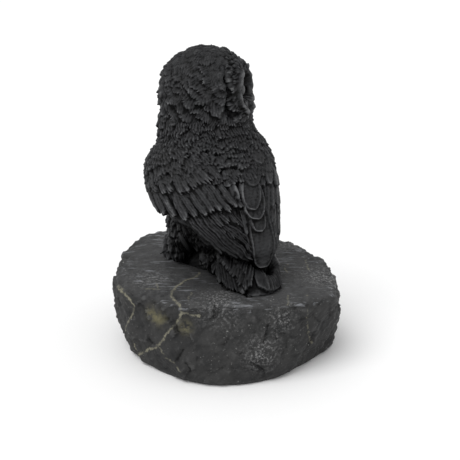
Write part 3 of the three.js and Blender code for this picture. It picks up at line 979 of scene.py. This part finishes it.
def rock_profile(turn, path):
    """Radius and height along a line from the middle of the underside, up the side, to the middle of the top."""
    foot, middle, top = (STONE_RADIUS * around(ring, turn) for ring in (STONE_FOOT, STONE_MIDDLE, STONE_TOP))
    one = np.ones_like(turn)
    stops = [0, 0.12, 0.14, 0.34, 0.52, 0.56, 0.6, 1]
    low, high = STONE_FOOT_EDGE, STONE_HEIGHT - STONE_EDGE
    radii = [0 * one, foot - STONE_FOOT_EDGE, foot, middle, top, top * 0.98, top * 0.89, 0 * one]
    heights = [0, 0, low, (low + high) / 2, high, STONE_HEIGHT - 0.9, STONE_HEIGHT, STONE_HEIGHT]
    radius, height = np.zeros_like(turn), np.zeros_like(turn)
    for k in range(len(stops) - 1):
        share = np.clip((path - stops[k]) / (stops[k + 1] - stops[k]), 0, 1)
        here = (path >= stops[k]) & (path <= stops[k + 1])
        radius = np.where(here, mix(radii[k], radii[k + 1], share), radius)
        height = np.where(here, mix(heights[k], heights[k + 1], share), height)
    return radius, height


def bare_rock(turn, rise):
    radius, height = rock_profile(turn, rise)
    a = 2 * math.pi * turn
    return np.stack([radius * np.cos(a) + STONE_PLACE[0], radius * np.sin(a) + STONE_PLACE[1], height], axis=-1)


def rock_points(turn, rise):
    base = bare_rock(turn, rise)
    normal = grid_normals(base, np.array([0, 0, 15.0]), wrap=True)
    flat, facing = base.reshape(-1, 3), normal.reshape(-1, 3)
    side = ease(0.11, 0.16, rise) * ease(0.66, 0.52, rise)
    top = ease(0.5, 0.58, rise)
    away = np.hypot(base[..., 0] - 1, np.maximum(np.abs(base[..., 1] - 5) - 17, 0))
    seat = ease(15, 20, away)
    broken = facets(flat, 9, 3).reshape(turn.shape)
    rough = 0.28 * ripple(base, 5, 1) + 0.16 * ripple(base, 2.4, 2) + 0.08 * ripple(base, 1.2, 3)
    chips = 0.5 * np.sin(2 * math.pi * (7 * turn + 1.3 * rise)) + 0.5 * ripple(base, 9, 4)
    crack = bump(distance_to(flat, facing, CRACKS), 0.5).reshape(turn.shape)
    vein = bump(distance_to(flat, facing, VEINS), 0.6).reshape(turn.shape)
    out = side * (broken * 0.8 + rough + chips * 0.7 - 0.9 * crack)
    out = out + top * seat * (0.35 * (rough - 0.3) + 0.12 * ripple(base, 14, 6)) + 0.15 * vein * (side + top * seat)
    shown = base + normal * np.where(rise < 0.12, 0, out)[..., None]
    shown[..., 2] = np.maximum(shown[..., 2], 0)
    return shown


def rock():
    grid = (int(150 / PITCH), int(70 / PITCH))
    made = ball("rock", rock_points, *grid)
    bare = ball("bare", bare_rock, *grid)
    points = np.array([v.co for v in bare.data.vertices]) * 1000
    normals = np.array([v.normal for v in bare.data.vertices])
    bpy.data.objects.remove(bare)
    for name, lines, reach in (("vein", VEINS, 6), ("hairline", HAIRLINES, 6), ("crack", CRACKS, 6)):
        paint(made, name, np.minimum(distance_to(points, normals, lines), reach))
    paint(made, "olive", sum(bump(np.linalg.norm(points - np.array(p), axis=1), 2.4) for p in OLIVE_PATCHES))
    paint(made, "dust", sum(bump(np.linalg.norm(points - np.array(p[:3]), axis=1), p[3]) for p in DUST))
    return made


def paint(made, name, values):
    """A number for each point of a mesh, for its material to read."""
    layer = made.data.attributes.new(name, "FLOAT", "POINT")
    layer.data.foreach_set("value", np.asarray(values, np.float32))


def paint_relief(made):
    """Marks ridges with numbers over 0 and hollows with numbers under 0, finely and broadly."""
    mesh = made.data
    count = len(mesh.vertices)
    points = np.empty(3 * count)
    mesh.vertices.foreach_get("co", points)
    points = points.reshape(-1, 3) * 1000
    normals = np.empty(3 * count)
    mesh.vertices.foreach_get("normal", normals)
    ends = np.empty(2 * len(mesh.edges), int)
    mesh.edges.foreach_get("vertices", ends)
    a, b = ends.reshape(-1, 2).T
    share = np.maximum(np.bincount(a, minlength=count) + np.bincount(b, minlength=count), 1)
    soft = points.copy()
    for step in range(1, 91):
        total = np.stack(
            [np.bincount(a, soft[b, k], count) + np.bincount(b, soft[a, k], count) for k in range(3)], axis=-1
        )
        soft = mix(soft, total / share[:, None], 0.6)
        if step in (14, 90):
            name, size = ("relief", 0.3) if step == 14 else ("hollow", 0.7)
            proud = np.einsum("ij,ij->i", points - soft, normals.reshape(-1, 3)) / size
            paint(made, name, np.clip(proud, -3, 3))


def paint_sky(made, reach=0.03):
    """How much light from above gets past the carving to each point."""
    mesh = made.data
    corners = [v.co.copy() for v in mesh.vertices]
    tree = BVHTree.FromPolygons(corners, [face.vertices[:] for face in mesh.polygons])
    ways = []
    for count, rise in ((7, 18), (5, 48), (1, 88)):
        for k in range(count):
            a, e = 2 * math.pi * (k + 0.25) / count, math.radians(rise)
            ways.append(Vector((math.cos(a) * math.cos(e), math.sin(a) * math.cos(e), math.sin(e))))
    light = np.zeros(len(corners))
    for i, vertex in enumerate(mesh.vertices):
        normal = vertex.normal
        start = corners[i] + normal * 5e-5
        for way in ways:
            facing = normal.dot(way)
            if facing > 0 and tree.ray_cast(start, way, reach)[0] is None:
                light[i] += facing
    paint(made, "sky", light / len(ways))


# Materials


class Nodes:
    """A material's nodes, made and linked in one call each."""

    def __init__(self, name):
        self.material = bpy.data.materials.new(name)
        self.material.use_nodes = True
        self.tree = self.material.node_tree
        self.shader = self.tree.nodes["Principled BSDF"]
        self.place = self.add("ShaderNodeTexCoord").outputs["Object"]

    def add(self, kind, inputs=None, **settings):
        node = self.tree.nodes.new(kind)
        for key, value in settings.items():
            setattr(node, key, value)
        for key, value in (inputs or {}).items():
            if isinstance(value, bpy.types.NodeSocket):
                self.tree.links.new(value, node.inputs[key])
            else:
                node.inputs[key].default_value = value
        return node

    def attribute(self, name):
        return self.add("ShaderNodeAttribute", attribute_name=name).outputs["Fac"]

    def noise(self, millimetres, detail=4.0, rough=0.6, place=None):
        inputs = {"Vector": place or self.place, "Scale": 1000 / millimetres, "Detail": detail, "Roughness": rough}
        return self.add("ShaderNodeTexNoise", inputs).outputs["Fac"]

    def span(self, value, low, high, to_low=0.0, to_high=1.0):
        """The value's range low to high as to_low to to_high, eased."""
        inputs = {0: value, 1: low, 2: high, 3: to_low, 4: to_high}
        return self.add("ShaderNodeMapRange", inputs, interpolation_type="SMOOTHSTEP").outputs[0]

    def maths(self, operation, a, b=0.0):
        return self.add("ShaderNodeMath", {0: a, 1: b}, operation=operation).outputs[0]

    def colour(self, factor, a, b):
        inputs = {"Factor": factor, "A": colour_of(a), "B": colour_of(b)}
        node = self.tree.nodes.new("ShaderNodeMix")
        node.data_type = "RGBA"
        sockets = {"Factor": node.inputs[0], "A": node.inputs[6], "B": node.inputs[7]}
        for key, value in inputs.items():
            if isinstance(value, bpy.types.NodeSocket):
                self.tree.links.new(value, sockets[key])
            else:
                sockets[key].default_value = value
        return node.outputs[2]

    def bump(self, height, depth, strength=1.0, normal=None):
        inputs = {"Height": height, "Distance": depth / 1000, "Strength": strength}
        if normal:
            inputs["Normal"] = normal
        return self.add("ShaderNodeBump", inputs).outputs["Normal"]

    def finish(self, **inputs):
        for key, value in inputs.items():
            socket = self.shader.inputs[key.replace("_", " ")]
            if isinstance(value, bpy.types.NodeSocket):
                self.tree.links.new(value, socket)
            else:
                socket.default_value = value
        return self.material


def colour_of(value):
    return value if isinstance(value, bpy.types.NodeSocket) else (*value, 1.0)


def cast_stone():
    """Near-black casting of ground stone, finely granular, with painted shade in its hollows, under the carving and low
    on one side, and painted highlights and glints on its ridges.
    """
    m = Nodes("cast_stone")
    relief = m.attribute("relief")
    hollow = m.attribute("hollow")
    grain = m.noise(0.45, 6, 0.7)
    cloud = m.noise(9, 3)
    tone = m.maths("ADD", relief, m.span(grain, 0.3, 0.7, -0.35, 0.35))
    # Painted shade: the colour falls to near black in the creases of the carving.
    base = m.colour(m.span(tone, -0.9, 0.5), (0.0005, 0.0005, 0.0006), (0.03, 0.0306, 0.0322))
    # Painted highlight: the ridges of the carving are painted paler.
    base = m.colour(m.span(tone, 0.5, 1.7, 0, 0.85), base, (0.088, 0.0897, 0.093))
    base = m.colour(m.span(cloud, 0.45, 0.75, 0, 0.3), base, (0.024, 0.0236, 0.023))
    # Painted glints on the sharpest ridges of the carving.
    base = m.colour(m.span(tone, 1.2, 2.4, 0, 0.6), base, (0.15, 0.152, 0.156))
    # Painted shade: the broad hollows of the carving are painted near black.
    base = m.colour(m.span(hollow, 0, -1.4, 0, 0.8), base, (0.0004, 0.0004, 0.0005))
    # Painted shade: points that see little of the sky past the carving are painted near black.
    base = m.colour(m.span(m.attribute("sky"), 0.07, 0.28), (0.0004, 0.0004, 0.0005), base)
    # Painted shade: the owl below about 4 to 5 cm, on one side of a line fixed to the object, is painted darker.
    x, y, z = m.add("ShaderNodeSeparateXYZ", {0: m.place}).outputs[:3]
    across = m.maths("ADD", m.maths("MULTIPLY", x, -0.906), m.maths("MULTIPLY", y, 0.423))
    painted_low_shade = m.maths("MAXIMUM", m.span(across, 0.0115, 0.0085), m.span(z, 0.043, 0.04))
    painted_low_shade = m.maths("MULTIPLY", painted_low_shade, m.maths("MULTIPLY", m.span(across, -0.016, -0.01), m.span(z, 0.06, 0.05)))
    base = m.colour(m.maths("MULTIPLY", painted_low_shade, 0.45), base, (0.0004, 0.0004, 0.0005))
    speck = m.noise(0.7, 2, 0.4)
    base = m.colour(m.span(speck, 0.78, 0.84, 0, 0.6), base, (0.16, 0.14, 0.09))
    rough = m.span(m.maths("ADD", cloud, grain), 0.7, 1.3, 0.32, 0.52)
    grit = m.bump(grain, 0.14, 0.9)
    waves = m.bump(m.noise(1.6, 4, 0.6), 0.25, 0.5, grit)
    return m.finish(Base_Color=base, Roughness=rough, Normal=waves, Specular_IOR_Level=0.08)


def rough_stone():
    """Dark grey rock with cream veins, white scratches, dust and olive patches, a top painted lighter as lit from
    above, painted highlights on its ridges and painted shade in its hollows.
    """
    m = Nodes("rough_stone")
    cloud = m.noise(11, 5, 0.65)
    grain = m.noise(0.8, 6, 0.7)
    mottle = m.noise(3.5, 5, 0.7)
    base = m.colour(m.span(cloud, 0.35, 0.65), (0.019, 0.0192, 0.0196), (0.036, 0.0358, 0.0355))
    base = m.colour(m.span(mottle, 0.55, 0.75, 0, 0.5), base, (0.012, 0.012, 0.0125))
    base = m.colour(m.span(grain, 0.58, 0.8, 0, 0.5), base, (0.075, 0.0755, 0.076))
    up = m.add("ShaderNodeSeparateXYZ", {0: m.place}).outputs[2]
    # Painted light: the top of the rock is painted lighter, as lit from above, in patches set by the mottle.
    painted_top_light = m.maths("MULTIPLY", m.span(up, 0.0292, 0.0308), m.span(mottle, 0.25, 0.7, 0.75, 0.25))
    base = m.colour(painted_top_light, base, (0.066, 0.0665, 0.068))
    relief = m.attribute("relief")
    # Painted highlight on the ridges of the rock, then painted shade in its hollows.
    base = m.colour(m.span(relief, 0.4, 2, 0, 0.35), base, (0.1, 0.1, 0.1))
    base = m.colour(m.span(relief, -0.4, -2, 0, 0.6), base, (0.008, 0.008, 0.008))

    near_top = m.span(up, 0.027, 0.0305)
    for size, turn, low, most in ((1.5, -155, 0.58, 0.55), (0.8, -146, 0.6, 0.5), (1.0, -164, 0.62, 0.45)):
        turned = m.add("ShaderNodeMapping", {"Vector": m.place, "Rotation": (0, 0, math.radians(turn))}).outputs[0]
        stretched = m.add("ShaderNodeMapping", {"Vector": turned, "Scale": (0.12, 1, 1)}).outputs[0]
        patchy = m.span(m.noise(13, 2, place=turned), 0.42, 0.6)
        scratch = m.maths("MULTIPLY", m.span(m.noise(size, 3, 0.55, stretched), low, low + 0.08), patchy)
        base = m.colour(m.maths("MULTIPLY", m.maths("MULTIPLY", scratch, near_top), most), base, (0.27, 0.28, 0.3))
    dusty = m.maths("MULTIPLY", m.attribute("dust"), m.span(m.noise(1.1, 6, 0.75), 0.48, 0.64))
    base = m.colour(m.maths("MULTIPLY", dusty, 0.75), base, (0.3, 0.3, 0.3))
    speckle = m.maths("MULTIPLY", m.span(m.noise(1.3, 4, 0.7), 0.63, 0.72), m.span(m.noise(12, 2), 0.42, 0.6))
    base = m.colour(m.maths("MULTIPLY", speckle, 0.65), base, (0.3, 0.3, 0.295))
    flecks = m.maths("MULTIPLY", m.span(m.noise(0.8, 2, 0.5), 0.68, 0.76), m.span(m.noise(20, 2), 0.4, 0.6))
    base = m.colour(m.maths("MULTIPLY", flecks, 0.9), base, (0.32, 0.32, 0.31))

    wander = m.span(m.noise(1.4, 4, 0.7), 0.3, 0.7, -0.36, 0.46)
    olive = m.maths("MULTIPLY", m.attribute("olive"), m.span(m.noise(2, 4, 0.6), 0.35, 0.6))
    base = m.colour(m.maths("MULTIPLY", olive, 0.6), base, (0.17, 0.155, 0.085))
    faded = m.span(m.noise(4.5, 3), 0.36, 0.6, 0.45, 1)
    for name, width, strength in (("vein", 0.66, 0.95), ("hairline", 0.5, 0.75)):
        near = m.maths("ADD", m.attribute(name), wander)
        line = m.maths("MULTIPLY", m.span(near, width, width - 0.5, 0, strength), faded)
        base = m.colour(line, base, (0.2, 0.19, 0.14))
    base = m.colour(m.span(m.maths("ADD", m.attribute("crack"), wander), 0.6, 0.1, 0, 0.85), base, (0.008, 0.008, 0.008))
    rough = m.span(cloud, 0.3, 0.7, 0.62, 0.8)
    grit = m.bump(grain, 0.25, 0.9)
    waves = m.bump(m.noise(2.5, 5, 0.65), 0.5, 0.6, grit)
    return m.finish(Base_Color=base, Roughness=rough, Normal=waves, Specular_IOR_Level=0.22)


def plain_floor():
    m = Nodes("floor")
    return m.finish(Base_Color=m.colour(m.noise(400, 2), (0.95, 0.95, 0.95), (0.93, 0.93, 0.93)), Roughness=0.8)


def dress(piece, node, material):
    piece.data.materials.clear()
    piece.data.materials.append(material)
    piece.data.shade_smooth()
    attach(piece, "root")
    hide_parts(node)


# Assembly

triangles = sum(len(face.vertices) - 2 for face in owl.data.polygons)
if triangles > OWL_FACES:
    thin = owl.modifiers.new("thin", "DECIMATE")
    thin.ratio = OWL_FACES / triangles
    owl.data = bpy.data.meshes.new_from_object(owl.evaluated_get(bpy.context.evaluated_depsgraph_get()))
    owl.modifiers.clear()
paint_relief(owl)
paint_sky(owl)
stone = rock()
paint_relief(stone)
dress(owl, "owl_figurine", cast_stone())
dress(stone, "stone_base", rough_stone())
print("triangles", triangles, len(owl.data.polygons), len(stone.data.polygons))

# Floor, light and camera

floor = mesh_object("floor", [(-3000, -3000, 0), (3000, -3000, 0), (3000, 3000, 0), (-3000, 3000, 0)], [(0, 1, 2, 3)])
floor.data.materials.append(plain_floor())

world = bpy.data.worlds.new("studio")
world.use_nodes = True
world.node_tree.nodes["Background"].inputs["Color"].default_value = (1, 1, 1, 1)
world.node_tree.nodes["Background"].inputs["Strength"].default_value = 0.78
bpy.context.scene.world = world
bpy.context.scene.view_settings.view_transform = "Standard"

AZIMUTH, ELEVATION = math.radians(155), math.radians(21)
AIM = Vector((-0.00186, 0.0053, 0.047))
DISTANCE = 0.416
outwards = Vector(
    (math.sin(AZIMUTH) * math.cos(ELEVATION), -math.cos(AZIMUTH) * math.cos(ELEVATION), math.sin(ELEVATION))
)
rightwards = Vector((math.cos(AZIMUTH), math.sin(AZIMUTH), 0))


key = bpy.data.lights.new("key", "SUN")
key.energy = 1.5
key.angle = math.radians(40)
lamp = bpy.data.objects.new("key", key)
lamp.rotation_euler = (outwards * 0.5 - rightwards * 0.45 + Vector((0, 0, 0.8))).to_track_quat("Z", "Y").to_euler()
bpy.context.scene.collection.objects.link(lamp)

camera = bpy.data.objects.new("camera", bpy.data.cameras.new("camera"))
camera.data.lens = 85
camera.data.sensor_width = 36
camera.data.clip_start = 0.01
camera.location = AIM + outwards * DISTANCE
camera.rotation_euler = (-outwards).to_track_quat("-Z", "Y").to_euler()
bpy.context.scene.collection.objects.link(camera)
bpy.context.scene.camera = camera
